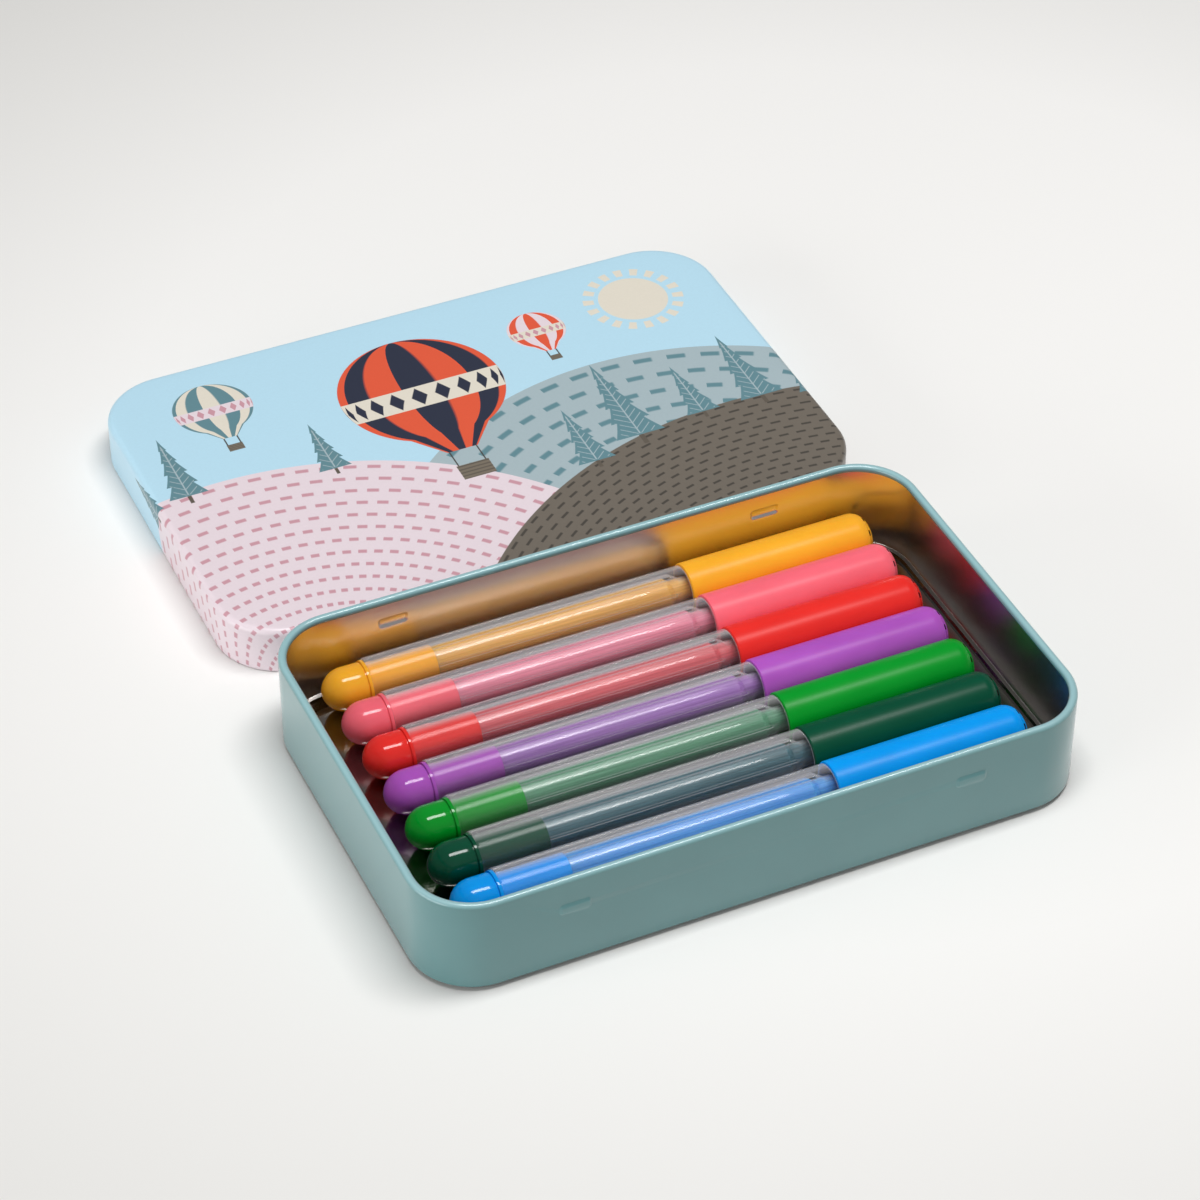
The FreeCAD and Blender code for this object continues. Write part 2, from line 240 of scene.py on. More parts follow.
def noise(finish, scale, detail=2.0, stretch=(1, 1, 1)):
    """A field of noise on the piece, which a stretch turns into a grain."""
    place = add(finish, "Mapping", {"Vector": own_place(finish), "Scale": stretch}).outputs["Vector"]
    return add(finish, "TexNoise", {"Vector": place, "Scale": scale, "Detail": detail}).outputs["Fac"]


# most of a noise field lies between these two
noise_low = 0.25
noise_high = 0.75


def shaded(finish, field, low, high):
    """A colour that wanders between two others."""
    ramp = add(finish, "ValToRGB", {"Fac": field})
    first, last = ramp.color_ramp.elements
    first.color = low
    last.color = high
    first.position = noise_low
    last.position = noise_high
    return ramp.outputs["Color"]


def mapped(finish, field, before, after=(0, 1)):
    """A number carried over from one span to another."""
    spans = {"From Min": before[0], "From Max": before[1], "To Min": after[0], "To Max": after[1]}
    return add(finish, "MapRange", {"Value": field, **spans}).outputs["Result"]


def between(finish, field, low, high):
    """A number that wanders between two others."""
    return mapped(finish, field, (noise_low, noise_high), (low, high))


def blended(finish, share, first, second):
    """A mix of two colours, which a Mix node takes in sockets 6 and 7 and gives out in socket 2."""
    mix = add(finish, "Mix", {"Factor": share, 6: first, 7: second}, data_type="RGBA")
    return mix.outputs[2]


def grained(finish, field, height, strength):
    """Fine relief from a field."""
    bump = add(finish, "Bump", {"Height": field, "Distance": height, "Strength": strength})
    feed(finish, "Normal", bump.outputs["Normal"])


enamel = new_finish("teal_enamel", Specular_IOR_Level=0.4, Coat_Weight=0.7, Coat_Roughness=0.07)
cloud = noise(enamel, scale=45.0, detail=3.0)
peel = noise(enamel, scale=1800.0)
# the enamel is painted paler on the curl towards its top: a painted highlight for the light on the rim
level = add(enamel, "SeparateXYZ", {"Vector": own_place(enamel)}).outputs["Z"]
curl_low = rim_level + 0.0002
curl_high = base_high.z - 0.0001
rim_highlight_share = mapped(enamel, level, (curl_low, curl_high))
wall_teal = shaded(enamel, cloud, tint(94, 141, 143), tint(99, 147, 149))
feed(enamel, "Base Color", blended(enamel, rim_highlight_share, wall_teal, tint(150, 190, 195)))
feed(enamel, "Roughness", between(enamel, cloud, 0.3, 0.36))
grained(enamel, peel, height=0.00002, strength=0.12)


def bare(name, smooth, dull, grey):
    """Bare tinplate with the faint upright lines that drawing leaves."""
    finish = new_finish(name, Metallic=1.0, Anisotropic=0.8)
    drawn = noise(finish, scale=2600.0, detail=3.0, stretch=(1, 1, 0.02))
    cloudy = noise(finish, scale=60.0, detail=4.0)
    dark = tint(grey, grey - 4, grey - 7)
    light = tint(grey + 10, grey + 7, grey + 4)
    feed(finish, "Base Color", shaded(finish, cloudy, dark, light))
    feed(finish, "Roughness", between(finish, drawn, smooth, dull))
    return finish


wall_tinplate = bare("wall_tinplate", smooth=0.275, dull=0.285, grey=218)
# the floor's tinplate is the walls' metal painted darker, as painted shade
shaded_floor_tinplate = bare("shaded_floor_tinplate", smooth=0.1, dull=0.15, grey=150)
# the foot ring is painted dark, as painted shade for the shadow under the tin's lower edge
foot_painted_shade = new_finish("foot_painted_shade", Roughness=0.5, Specular_IOR_Level=0.2)
foot_shade_mottle = noise(foot_painted_shade, scale=90.0)
feed(foot_painted_shade, "Base Color", shaded(foot_painted_shade, foot_shade_mottle, tint(46, 62, 61), tint(56, 74, 73)))

# each finish outside is followed by the one inside
base_finishes = (enamel, wall_tinplate, enamel, shaded_floor_tinplate, foot_painted_shade, shaded_floor_tinplate)
floor_finish = 2
foot_shade_finish = 4

bm = bmesh.new()
end = bm.verts.new((base_half_length - floor_inset, 0, floor_rise))
end = run_to(bm, end, base_half_length - step_inset, floor_rise)
end = run_to(bm, end, base_half_length - ring_inset, 0)
end = run_to(bm, end, base_half_length - foot_inset, 0)
end = run_to(bm, end, base_half_length - ledge_inset, foot_rise)
end = run_to(bm, end, base_half_length - base_edge, ledge_rise)
end = curl_about(bm, end, base_half_length - base_edge, ledge_rise + base_edge, degrees=-90, steps=5)
end = run_to(bm, end, base_half_length, rim_level)
curl_about(bm, end, base_half_length - rim_radius, rim_level, degrees=-270, steps=24)
take_round(bm, base_half_length, base_half_width, base_corner)
close_panel(bm, floor_rise)
for side in (-1, 1):
    for middle in (-dimple_spacing / 2, dimple_spacing / 2):
        press_dimple(bm, side, middle)
foot_low = floor_rise / 2 - 0.0001
floor_high = floor_rise + 0.0001
floor_reach = 0.045
facing_down = -0.7
# faces of the foot ring take the dark foot finish, which is painted shade
for face in bm.faces:
    middle = face.calc_center_median()
    if foot_low < middle.z < ledge_rise and middle.xy.length > floor_reach:
        face.material_index = foot_shade_finish
    if face.normal.z < facing_down and middle.z < floor_high:
        face.material_index = floor_finish
bmesh.ops.translate(bm, verts=bm.verts, vec=(0, base_middle.y, 0))
give_thickness(as_piece(bm, "base_shell", "tin_base", "tin_base", "tin_paint", *base_finishes))

# Pen barrels
# Each barrel is moulded in one piece from clear polystyrene: a thick tube, a neck that the cap grips
# and a cone for the nib. Six thin ribs inside the tube keep the ink reservoir in its middle.
colours = ["yellow", "pink", "red", "purple", "green", "dark_green", "blue", "navy"]
barrel_radius = 0.00575
barrel_length = 0.0804
barrel_bore = 0.00465
barrel_round = 0.0003
neck_radius = 0.00505
neck_end = 0.0944
cone_radius = 0.0042
cone_tip_radius = 0.0021
cone_end = 0.1044
core_radius = 0.00305
core_end = 0.0934
rib_reach = 0.00405
rib_pitch = 60
rib_half_turn = 2
sleeve_end = 0.0164
throat_start = 0.0769
throat_end = 0.0794
nib_hole = 0.0012


def turn_solid(bm, steps):
    """Turn the drawn section about the pen's own line."""
    bmesh.ops.spin(
        bm, geom=bm.verts[:] + bm.edges[:], cent=(0, 0, 0), axis=(1, 0, 0), angle=2 * math.pi,
        steps=steps, use_merge=True
    )
    bmesh.ops.remove_doubles(bm, verts=bm.verts, dist=0.0000005)
    bmesh.ops.recalc_face_normals(bm, faces=bm.faces)


def ease_edges(bm, width):
    """Break the sharp edges that a mould never leaves."""
    sharp = [edge for edge in bm.edges if edge.calc_face_angle(0) > math.radians(30)]
    bmesh.ops.bevel(
        bm, geom=sharp, offset=width, affect="EDGES", segments=2, profile=0.5, material=-1,
        clamp_overlap=True
    )


def off_pitch(place, pitch):
    """The degrees from a place to the nearest of the stations that stand a pitch apart round a pen."""
    turned = math.degrees(math.atan2(place.y, place.z)) % pitch
    return min(turned, pitch - turned)


def rear_of(colour):
    """The middle of the rear face of a pen's barrel."""
    low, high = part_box(f"{colour}_barrel")
    return Vector((low.x, (low.y + high.y) / 2, (low.z + high.z) / 2))


def lay_pens(bm, part, body, slot, finishes, *more):
    """Lay a copy of one piece in each pen's place."""
    for colour, finish in finishes.items():
        laid = bm.copy()
        bmesh.ops.translate(laid, verts=laid.verts, vec=rear_of(colour))
        node = f"{colour}_{part}"
        name = f"{node}_piece"
        as_piece(laid, name, body.format(colour), node, slot.format(colour), finish, *more)
    bm.free()


# the clear wall is see-through face on and whitish where it is seen at a slant
clear = new_finish("clear_polystyrene", IOR=3.6, Roughness=0.16)
# lengthwise streaks from grey to near white: flow lines in the moulding, and partly painted highlight
# lines
flow = noise(clear, scale=1100.0, stretch=(0.02, 1, 1))
feed(clear, "Base Color", shaded(clear, flow, tint(196, 192, 202), tint(255, 255, 255)))
slant = add(clear, "LayerWeight", {"Blend": 0.5}).outputs["Facing"]
feed(clear, "Alpha", mapped(clear, slant, (0.23, 0.5), (0.035, 0.42)))

bm = bmesh.new()
start = end = bm.verts.new((throat_end, 0, core_radius))
end = run_to(bm, end, throat_start, barrel_bore)
end = run_to(bm, end, sleeve_end, barrel_bore)
end = run_to(bm, end, 0, barrel_bore)
end = run_to(bm, end, 0, barrel_radius - barrel_round)
end = curl_about(bm, end, barrel_round, barrel_radius - barrel_round, degrees=90, steps=4)
end = run_to(bm, end, barrel_length - barrel_round, barrel_radius)
end = curl_about(
    bm, end, barrel_length - barrel_round, barrel_radius - barrel_round, degrees=90, steps=4
)
end = run_to(bm, end, barrel_length, neck_radius)
end = run_to(bm, end, neck_end, neck_radius)
end = run_to(bm, end, neck_end, cone_radius)
end = run_to(bm, end, cone_end, cone_tip_radius)
end = run_to(bm, end, cone_end, nib_hole)
end = run_to(bm, end, core_end, nib_hole)
end = run_to(bm, end, core_end, core_radius)
bm.edges.new((end, start))
turn_solid(bm, steps=96)
ribbed = []
for face in bm.faces:
    middle = face.calc_center_median()
    in_bore = sleeve_end < middle.x < throat_start and middle.yz.length < barrel_bore
    if in_bore and off_pitch(middle, rib_pitch) < rib_half_turn:
        ribbed.append(face)
made = bmesh.ops.extrude_face_region(bm, geom=ribbed)["geom"]
for corner in made:
    if isinstance(corner, bmesh.types.BMVert):
        corner.co.yz = corner.co.yz * (rib_reach / barrel_bore)
bmesh.ops.delete(bm, geom=ribbed, context="FACES_ONLY")
lay_pens(bm, "barrel", "{}_pen", "clear_barrel", {colour: clear for colour in colours})

# Ink reservoirs
# A rod of crimped fibre, soaked with ink and wrapped in a thin clear film, runs from the socket of
# the end plug to the stop in the neck. The clear barrel acts as a lens and makes the rod look wider,
# so between sleeve and throat it is drawn as wide as it looks.
ink_colours = {
    "yellow": (240, 176, 72), "pink": (238, 134, 160), "red": (222, 82, 92), "purple": (160, 104, 188),
    "green": (74, 146, 108), "dark_green": (36, 92, 104), "blue": (60, 156, 238), "navy": (44, 62, 132),
}
reservoir_radius = 0.0029
swell_radius = 0.0039
swell_start = sleeve_end + 0.0001
swell_end = throat_start - 0.0015
socket_floor = 0.004
nib_socket_floor = 0.0852


def fibre(name, colour):
    """Soaked fibre: fine lengthwise strands with a soft shine."""
    finish = new_finish(
        name, Subsurface_Weight=1.0, Subsurface_Scale=0.005, Subsurface_Radius=(1, 1, 1),
        Coat_Weight=0.6, Coat_Roughness=0.06
    )
    strands = noise(finish, scale=3000.0, detail=3.0, stretch=(0.01, 1, 1))
    dark = [c * 0.86 for c in colour]
    pale = [min(255, c * 0.9 + 34) for c in colour]
    feed(finish, "Base Color", shaded(finish, strands, tint(*dark), tint(*pale)))
    feed(finish, "Roughness", between(finish, strands, 0.32, 0.5))
    return finish


inks = {colour: fibre(f"{colour}_ink_fibre", ink_colours[colour]) for colour in colours}
bm = bmesh.new()
end = bm.verts.new((socket_floor, 0, 0))
end = run_to(bm, end, socket_floor, reservoir_radius)
end = run_to(bm, end, swell_start, reservoir_radius)
end = run_to(bm, end, swell_start, swell_radius)
end = run_to(bm, end, swell_end, swell_radius)
end = run_to(bm, end, throat_start, reservoir_radius)
end = run_to(bm, end, core_end, reservoir_radius)
end = run_to(bm, end, core_end, nib_hole)
end = run_to(bm, end, nib_socket_floor, nib_hole)
run_to(bm, end, nib_socket_floor, 0)
turn_solid(bm, steps=48)
ease_edges(bm, width=0.00012)
lay_pens(bm, "ink_reservoir", "{}_pen", "{}_ink", inks)

# Nibs
# A rod of bonded fibre with a bullet tip is pressed through the cone, with its tail in the reservoir.
# The caps hide it until a pen is pulled.
nib_radius = 0.00115
nib_tail = 0.0854
nib_tip = 0.1089
bullet_start = nib_tip - 0.002
bullet_radius = 0.0007
bm = bmesh.new()
end = bm.verts.new((nib_tail, 0, 0))
end = run_to(bm, end, nib_tail, nib_radius)
end = run_to(bm, end, bullet_start, nib_radius)
end = run_to(bm, end, nib_tip - bullet_radius, bullet_radius)
curl_about(bm, end, nib_tip - bullet_radius, 0, degrees=90, steps=8)
turn_solid(bm, steps=32)
ease_edges(bm, width=0.0001)
lay_pens(bm, "nib", "{}_pen", "{}_ink", inks)

# End plugs
# A domed plug of coloured plastic closes the rear of each barrel: a glossy head with a collar and a
# groove, a seat that fills the bore and a sleeve round the end of the reservoir. The sleeve, too, is
# drawn as wide as it looks through the barrel.
plastic_colours = {
    "yellow": (250, 176, 44), "pink": (248, 106, 122), "red": (236, 46, 40), "purple": (174, 84, 190),
    "green": (0, 150, 40), "dark_green": (0, 74, 50), "blue": (0, 154, 242), "navy": (38, 56, 128),
}
head_radius = 0.0052
head_end = -0.0011
groove_floor = 0.00495
collar_start = -0.0008
collar_radius = 0.00545
seat_radius = 0.0046
short_seat_end = 0.0018
long_seat_end = 0.0063
sleeve_radius = 0.0044
socket_radius = 0.00295
nose_radius = 0.0044
dome_length = 0.0056
dome_tip = -0.0109
dome_start = dome_tip + dome_length


def moulded(name, colour, rough, shine):
    """Coloured plastic with a faint flow in its colour, and the mould's fine texture where it is satin."""
    finish = new_finish(name, Specular_IOR_Level=shine, Subsurface_Weight=0.1, Subsurface_Scale=0.001)
    swirl = noise(finish, scale=160.0, detail=3.0, stretch=(0.4, 1, 1))
    skin = noise(finish, scale=4000.0)
    dark = [c * 0.97 for c in colour]
    light = [min(255, c * 1.02 + 3) for c in colour]
    feed(finish, "Base Color", shaded(finish, swirl, tint(*dark), tint(*light)))
    feed(finish, "Roughness", between(finish, skin, rough * 0.85, rough * 1.15))
    satin = rough > 0.2
    if satin:
        grained(finish, skin, height=0.00001, strength=0.1)
    return finish


# the round of the nose runs on into a flatter arc, and that into the straight head
flank_length = dome_length - nose_radius
widening = head_radius - nose_radius
flank = (flank_length ** 2 + head_radius ** 2 - nose_radius ** 2) / (2 * widening)
nose_turn = math.degrees(math.atan2(flank - head_radius, flank_length))
for colour in colours:
    seat_end = long_seat_end if colour == "red" else short_seat_end
    bm = bmesh.new()
    end = bm.verts.new((dome_tip, 0, 0))
    end = curl_about(bm, end, dome_tip + nose_radius, 0, degrees=nose_turn, steps=16)
    end = curl_about(bm, end, dome_start, head_radius - flank, degrees=90 - nose_turn, steps=10)
    end = run_to(bm, end, head_end, head_radius)
    end = run_to(bm, end, head_end, groove_floor)
    end = run_to(bm, end, collar_start, groove_floor)
    end = run_to(bm, end, collar_start, collar_radius)
    end = run_to(bm, end, 0, collar_radius)
    end = run_to(bm, end, 0, seat_radius)
    end = run_to(bm, end, seat_end, seat_radius)
    end = run_to(bm, end, seat_end, sleeve_radius)
    end = run_to(bm, end, sleeve_end, sleeve_radius)
    end = run_to(bm, end, sleeve_end, socket_radius)
    end = run_to(bm, end, socket_floor, socket_radius)
    run_to(bm, end, socket_floor, 0)
    turn_solid(bm, steps=72)
    ease_edges(bm, width=0.00008)
    plug_plastic = moulded(f"{colour}_plug_plastic", plastic_colours[colour], rough=0.1, shine=0.38)
    lay_pens(bm, "end_plug", "{}_pen", "{}_plastic", {colour: plug_plastic})

# Caps
# A long cap of satin plastic pushes over the neck. Its mouth has a small lip and its end is rounded
# off. A fine seam in the shoulder, with a ring of slots along it, lets air through.
cap_radius = 0.00615
cap_mouth = 0.0805
cap_end = 0.1291
cap_lip = 0.0003
cap_shoulder = 0.004
cap_bore = 0.0052
cap_bore_end = 0.0954
cap_inner = 0.0046
cap_inner_end = 0.1275
shoulder_x = cap_end - cap_shoulder
shoulder_z = cap_radius - cap_shoulder
# the seam lies between two angles round the shoulder, and its floor at a share of the shoulder's radius
seam_start = 37
seam_end = 41
seam_floor = 0.965
seam_low = 0.0038
seam_high = 0.0039
seam_clear = 0.0017
slot_near = 0.00495
slot_far = 0.00515
slot_pitch = 45
slot_half_turn = 6
slot_squeeze = 0.93
slot_sink = 0.0003
# faces in the seam and slots take a dark finish that is painted shade
gap_shade_finish = 1

bm = bmesh.new()
end = bm.verts.new((cap_inner_end, 0, 0))
end = run_to(bm, end, cap_inner_end, cap_inner)
end = run_to(bm, end, cap_bore_end, cap_inner)
end = run_to(bm, end, cap_bore_end, cap_bore)
end = run_to(bm, end, cap_mouth, cap_bore)
end = run_to(bm, end, cap_mouth, cap_radius - cap_lip)
end = curl_about(bm, end, cap_mouth + cap_lip, cap_radius - cap_lip, degrees=90, steps=4)
end = run_to(bm, end, shoulder_x, cap_radius)
end = curl_about(bm, end, shoulder_x, shoulder_z, degrees=seam_start, steps=7)
for turned, reach in ((seam_start, seam_floor), (seam_end, seam_floor), (seam_end, 1.0)):
    out = cap_shoulder * reach
    turn = math.radians(turned)
    end = run_to(bm, end, shoulder_x + out * math.sin(turn), shoulder_z + out * math.cos(turn))
end = curl_about(bm, end, shoulder_x, shoulder_z, degrees=90 - seam_end, steps=9)
run_to(bm, end, cap_end, 0)
turn_solid(bm, steps=96)
slots = []
for face in bm.faces:
    middle = face.calc_center_median()
    out = Vector((middle.x - shoulder_x, middle.yz.length - shoulder_z))
    if min(out) > seam_clear and seam_low < out.length < seam_high:
        face.material_index = gap_shade_finish
    on_shoulder = out.x > 0 and out.length > seam_high
    if on_shoulder and slot_near < middle.yz.length < slot_far:
        if off_pitch(middle, slot_pitch) < slot_half_turn:
            slots.append(face)
made = bmesh.ops.extrude_face_region(bm, geom=slots)["geom"]
sunk = [corner for corner in made if isinstance(corner, bmesh.types.BMVert)]
bmesh.ops.scale(bm, verts=sunk, vec=(1, slot_squeeze, slot_squeeze))
bmesh.ops.translate(bm, verts=sunk, vec=(-slot_sink, 0, 0))
for corner in sunk:
    for face in corner.link_faces:
        face.material_index = gap_shade_finish
bmesh.ops.delete(bm, geom=slots, context="FACES_ONLY")
# a dark plastic put where the seam and slots are in shade: painted shade
gap = new_finish("cap_gap_shade", Roughness=0.7, Specular_IOR_Level=0.1)
feed(gap, "Base Color", shaded(gap, noise(gap, scale=900.0), tint(34, 16, 20), tint(52, 24, 30)))
caps = {
    colour: moulded(f"{colour}_cap_plastic", plastic_colours[colour], rough=0.32, shine=0.16)
    for colour in colours
}
lay_pens(bm, "cap", "{}_cap", "{}_plastic", caps, gap)

# Lid
# The lid is drawn from the same tinplate: a flat top, a rounded edge and a short skirt whose lower
# edge is curled inwards. It is printed all over its outside before it is drawn, so the picture runs
# on down the skirt. It lies on the table behind the base.
lid_low, lid_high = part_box("tin_lid")
lid_middle = (lid_low + lid_high) / 2
lid_half_length = (lid_high.x - lid_low.x) / 2
lid_half_width = (lid_high.y - lid_low.y) / 2
lid_corner = 0.01675
lid_edge = 0.0016
lid_top = lid_high.z
lid_margin = 0.003
lid_curl = 0.00075
print_size = 0.2

printed = new_finish("printed_tinplate", Specular_IOR_Level=0.5, Coat_Weight=0.2, Coat_Roughness=0.2)


class Field:
    """A number that varies over the print, worked out in math nodes."""

    def __init__(self, output):
        self.output = output

    def worked(self, operation, *others, clamp=False):
        made = add(printed, "Math", {}, operation=operation, use_clamp=clamp)
        for socket, term in zip(made.inputs, (self, *others)):
            if isinstance(term, Field):
                printed.node_tree.links.new(term.output, socket)
            else:
                socket.default_value = term
        return Field(made.outputs[0])

    def __add__(self, other):
        return self.worked("ADD", other)

    def __sub__(self, other):
        return self.worked("SUBTRACT", other)

    def __mul__(self, other):
        return self.worked("MULTIPLY", other)

    def __truediv__(self, other):
        return self.worked("DIVIDE", other)

    def least(self, other):
        return self.worked("MINIMUM", other)

    def most(self, other):
        return self.worked("MAXIMUM", other)

    def size(self):
        return self.worked("ABSOLUTE")

    def root(self):
        return self.worked("SQRT")

    def part(self):
        return self.worked("FRACT")

    def floor(self):
        return self.worked("FLOOR")

    def inside(self, blur=0.16):
        """1 where the number is below nought, with a soft edge."""
        return self.worked("MULTIPLY_ADD", -1 / blur, 0.5, clamp=True)


picture = tint(186, 224, 242)


def lay_ink(colour, mask):
    """Print one ink over the picture so far."""
    global picture
    picture = blended(printed, mask.output, picture, colour)


# the picture is laid out in millimetres from the middle of the lid
span = print_size * 1000
place = add(printed, "UVMap", {}, uv_map="print").outputs["UV"]
centred = (-span / 2, -span / 2, 0)
spread = add(printed, "Mapping", {"Vector": place, "Location": centred, "Scale": (span, span, 1)})
axes = add(printed, "SeparateXYZ", {"Vector": spread.outputs["Vector"]})
print_x = Field(axes.outputs["X"])
print_y = Field(axes.outputs["Y"])


def from_point(x, y):
    """How far each spot of the print is from a point."""
    across = print_x - x
    up = print_y - y
    return (across * across + up * up).root()


def bearing(x, y):
    """The direction in which each spot of the print lies from a point."""
    return (print_x - x).worked("ARCTAN2", print_y - y)


def hill(x, y, radius, colour, dash_colour, row, dash):
    """A round hill with rows of short dashes that follow its outline."""
    stroke_half = 0.13
    dash_share = 0.55
    far = from_point(x, y)
    body = (far - radius).inside()
    lay_ink(colour, body)
    rows = (far * -1 + radius) / row
    staggered = (rows.floor() * 0.5 + bearing(x, y) * (radius / dash)).part()
    stroke = ((rows.part() - 0.5).size() - stroke_half).inside(blur=0.08)
    lay_ink(dash_colour, stroke * (staggered - dash_share).inside(blur=0.06) * body)


def conifer(x, y, tall, wide, colour, vein):
    """A tiered fir with a pale spine and slanting twigs."""
    tier_count = 5
    tier_notch = 0.3
    trunk_half = wide * 0.05
    trunk_drop = 0.12
    spine_half = 0.18
    twig_slant = 0.9
    twig_spacing = 2.4
    twig_share = 0.12
    twig_reach = 0.82
    edge = 0.5
    side = (print_x - x).size()
    up = (print_y - y) / tall
    tiers = (up * tier_count).part() * -tier_notch + 1
    half = (up * -1 + 1) * tiers * (wide / 2)
    shape = (side - half).most(up * -tall).most((up - 1) * tall)
    trunk = (side - trunk_half).most((up + trunk_drop) * -tall).most(up * tall)
    lay_ink(tint(96, 88, 78), trunk.inside())
    lay_ink(colour, shape.inside())
    twigs = ((up * tall - side * twig_slant) / twig_spacing).part()
    lines = (side - spine_half).least((twigs - twig_share).most(side - half * twig_reach))
    lay_ink(vein, lines.inside(blur=0.14) * (shape + edge).inside())


def balloon(x, y, radius, first, second, band, mark):
    """A hot-air balloon: gores in two colours, a band of diamonds, ropes and a basket."""
    taper_drop = 0.3 * radius
    taper_half = 0.95 * radius
    taper_slope = 0.8
    mouth_drop = 1.25 * radius
    gore_count = 7
    belt_drop = 0.12 * radius
    belt_half = 0.2 * radius
    diamond_size = 0.17
    rope_side = 0.17 * radius
    rope_half = 0.18
    rope_drop = 1.55 * radius
    basket_side = 0.2 * radius
    basket_drop = 1.66 * radius
    basket_half = 0.13 * radius
    weave_row = 0.06 * radius
    weave_share = 0.35
    weave_ink = 0.8
    across = print_x - x
    up = print_y - y
    side = across.size()
    round_part = from_point(x, y) - radius
    taper = (up + taper_drop).least(0) * taper_slope + taper_half
    mouth = (side - taper).most(up * -1 - mouth_drop).most(up + taper_drop)
    shape = round_part.least(mouth)
    chord = (up * up * -1 + radius * radius).most(0.01).root()
    half = chord.most(taper * up.inside(blur=0.1))
    gore = (across / half).least(1).most(-1).worked("ARCSINE") * (gore_count / math.pi) + 0.5
    other = ((gore * 0.5).part() - 0.5).inside(blur=0.05)
    body = shape.inside()
    lay_ink(first, body)
    lay_ink(second, body * other)
    off_belt = (up + belt_drop).size()
    belt = (off_belt - belt_half).inside()
    lay_ink(band, belt * body)
    zigzag = ((gore * 1.5).part() - 0.5).size() * 0.5 + off_belt / radius - diamond_size
    lay_ink(mark, zigzag.inside(blur=0.02) * body * belt)
    ropes = ((side - rope_side).size() - rope_half).most(up + mouth_drop).most(up * -1 - rope_drop)
    lay_ink(tint(70, 66, 60), ropes.inside())
    basket = (side - basket_side).most((up + basket_drop).size() - basket_half).inside()
    lay_ink(tint(122, 112, 98), basket)
    weave = ((up / weave_row).part() - weave_share).inside(blur=0.2)
    lay_ink(tint(84, 78, 70), weave * basket * weave_ink)


cream = tint(228, 221, 206)
navy = tint(40, 46, 66)
orange = tint(228, 90, 58)
slate = tint(98, 138, 148)
pale_slate = tint(168, 186, 192)
rose = tint(204, 152, 164)
blush = tint(232, 217, 224)
brown = tint(112, 104, 94)
dark_brown = tint(72, 67, 61)
sun_place = (58, 33)
sun_radius = 9
ray_start = 10.2
ray_end = 13
ray_count = 18
ray_width = 6
# the place, height and width of each fir
far_firs = ((-84, 2, 17, 8), (-73, 4, 24, 10), (-37, -0.5, 19, 8.5))
near_firs = (
    (22, -24, 22, 10), (36, -19, 31, 13), (54, -17, 20, 9), (70, -17, 27, 11.5), (83, -20, 18, 8),
)
sun = from_point(*sun_place)
turns = (bearing(*sun_place) * (ray_count / (2 * math.pi))).part()
rays = (sun - ray_end).most(sun * -1 + ray_start).most((turns - 0.5) * ray_width)
lay_ink(cream, (sun - sun_radius).least(rays).inside())
hill(38, -70, 82, pale_slate, slate, row=6.5, dash=9.0)
hill(-64, -86, 92, blush, rose, row=4.6, dash=6.0)
for fir in far_firs:
    conifer(*fir, slate, pale_slate)
balloon(-6, 20, 21, orange, navy, cream, navy)
balloon(-56, 34, 10, slate, cream, blush, rose)
balloon(30, 31, 7.5, blush, orange, cream, rose)
hill(62, -122, 106, brown, dark_brown, row=2.7, dash=5.4)
for fir in near_firs:
    conifer(*fir, slate, pale_slate)
mottle = noise(printed, scale=1500.0)
brightness = between(printed, mottle, 0.985, 1.015)
inked = add(printed, "HueSaturation", {"Color": picture, "Value": brightness})
feed(printed, "Base Color", inked.outputs["Color"])
feed(printed, "Roughness", between(printed, mottle, 0.34, 0.42))
grained(printed, mottle, height=0.00002, strength=0.15)

bm = bmesh.new()
end = bm.verts.new((lid_half_length - lid_edge - lid_margin, 0, lid_top))
end = run_to(bm, end, lid_half_length - lid_edge, lid_top)
end = curl_about(bm, end, lid_half_length - lid_edge, lid_top - lid_edge, degrees=90, steps=10)
end = run_to(bm, end, lid_half_length, lid_curl)
curl_about(bm, end, lid_half_length - lid_curl, lid_curl, degrees=270, steps=18)
take_round(bm, lid_half_length, lid_half_width, lid_corner)
close_panel(bm, lid_top)
straight_x = lid_half_length - lid_corner
straight_y = lid_half_width - lid_corner
unfolded = bm.loops.layers.uv.new("print")
for face in bm.faces:
    for loop in face.loops:
        spot = loop.vert.co
        core_x = max(-straight_x, min(straight_x, spot.x))
        core_y = max(-straight_y, min(straight_y, spot.y))
        outwards = spot.xy - Vector((core_x, core_y))
        if outwards.length > 0:
            outwards.normalize()
        flat = spot.xy + outwards * (lid_top - spot.z)
        loop[unfolded].uv = (flat.x / print_size + 0.5, flat.y / print_size + 0.5)
bmesh.ops.translate(bm, verts=bm.verts, vec=(0, lid_middle.y, 0))
give_thickness(as_piece(bm, "lid_shell", "tin_lid", "tin_lid", "lid_print", printed, wall_tinplate))

# Table, light and camera
# The case lies on a pale table, painted paler near a spot and darker further out as a painted pool of
# light. A long soft lamp hangs over it and another stands on its left, and the camera looks down on it
# from the front left.
table_half = 3.0
light_pool_centre = (0.08, 0.03, 0)
light_pool_start = 0.1
light_pool_end = 0.4
front_glow = 0.31
back_glow = 0.16
lens_length = 115.5
sensor_width = 36
camera_aim = Vector((0.0069, base_middle.y + 0.05567, 0))
camera_distance = 0.9147
camera_turn = math.radians(-24.622)
camera_lift = math.radians(40.365)
camera_tilt = math.radians(0.107)

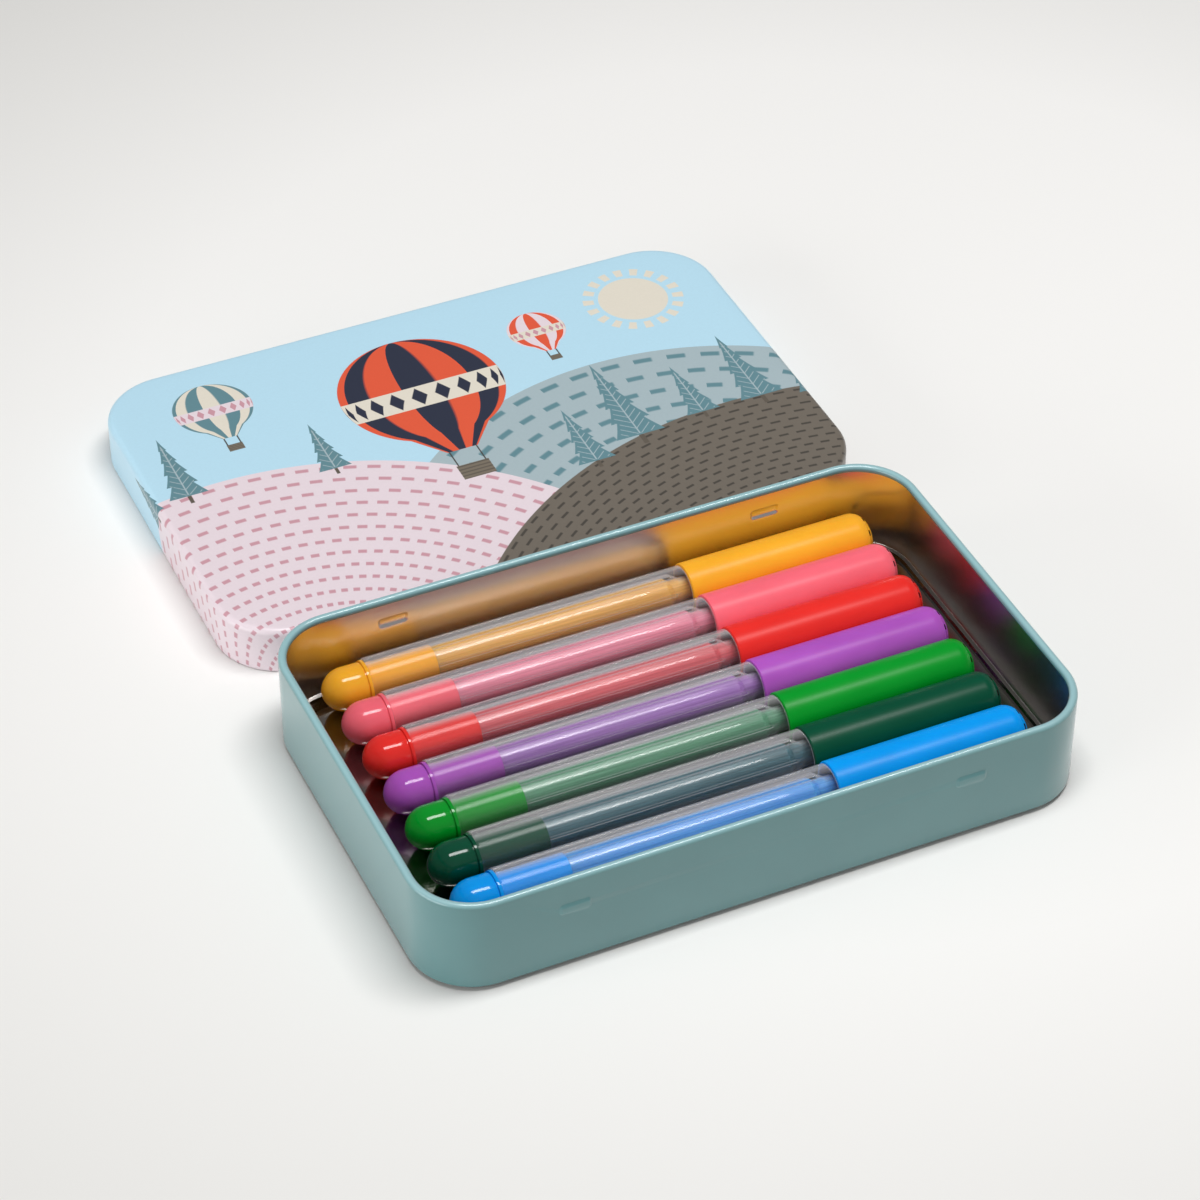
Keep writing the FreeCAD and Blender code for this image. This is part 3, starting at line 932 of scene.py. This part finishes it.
bm = bmesh.new()
bmesh.ops.create_grid(bm, x_segments=1, y_segments=1, size=table_half)
mesh = bpy.data.meshes.new("table")
bm.to_mesh(mesh)
bm.free()
table = bpy.data.objects.new("table", mesh)
bpy.context.scene.collection.objects.link(table)
paper = new_finish("pale_table", Roughness=0.9, Specular_IOR_Level=0.1)
# the table is painted paler near a spot and darker further out: a painted pool of light
away = add(paper, "VectorMath", {0: own_place(paper), 1: light_pool_centre}, operation="DISTANCE")
painted_light_pool = mapped(paper, away.outputs["Value"], (light_pool_start, light_pool_end))
feed(paper, "Base Color", shaded(paper, painted_light_pool, tint(245, 244, 242), tint(226, 225, 222)))
mesh.materials.append(paper)

world = bpy.data.worlds.new("studio")
world.use_nodes = True
background = world.node_tree.nodes["Background"]
background.inputs["Color"].default_value = (1, 0.995, 0.985, 1)
towards = add(world, "SeparateXYZ", {"Vector": add(world, "TexCoord", {}).outputs["Generated"]})
glow = mapped(world, towards.outputs["Y"], (-1, 1), (front_glow, back_glow))
world.node_tree.links.new(glow, background.inputs["Strength"])
bpy.context.scene.world = world


def softbox(name, place, aim, size, watts):
    """A rectangular soft lamp that points at an aim."""
    lamp = bpy.data.lights.new(name, "AREA")
    lamp.shape = "RECTANGLE"
    lamp.size, lamp.size_y = size
    lamp.energy = watts
    hung = bpy.data.objects.new(name, lamp)
    hung.location = place
    hung.rotation_euler = (Vector(aim) - Vector(place)).to_track_quat("-Z", "Y").to_euler()
    bpy.context.scene.collection.objects.link(hung)


softbox("overhead", place=(0.15, -0.1, 1.1), aim=(0.15, -0.02, 0), size=(0.8, 0.25), watts=9.7)
softbox("left", place=(-1.1, -0.2, 0.25), aim=(-0.08, -0.06, 0.01), size=(1.0, 0.45), watts=5.6)

camera = bpy.data.objects.new("camera", bpy.data.cameras.new("camera"))
camera.data.sensor_width = sensor_width
camera.data.lens = lens_length
level_reach = math.cos(camera_lift)
back = Vector((
    math.sin(camera_turn) * level_reach, -math.cos(camera_turn) * level_reach, math.sin(camera_lift)
))
camera.location = camera_aim + back * camera_distance
tilt = Matrix.Rotation(camera_tilt, 3, "Z")
camera.rotation_euler = (back.to_track_quat("Z", "Y").to_matrix() @ tilt).to_euler()
camera.data.clip_end = 20
bpy.context.scene.collection.objects.link(camera)
bpy.context.scene.camera = camera
bpy.context.scene.view_settings.view_transform = "Standard"
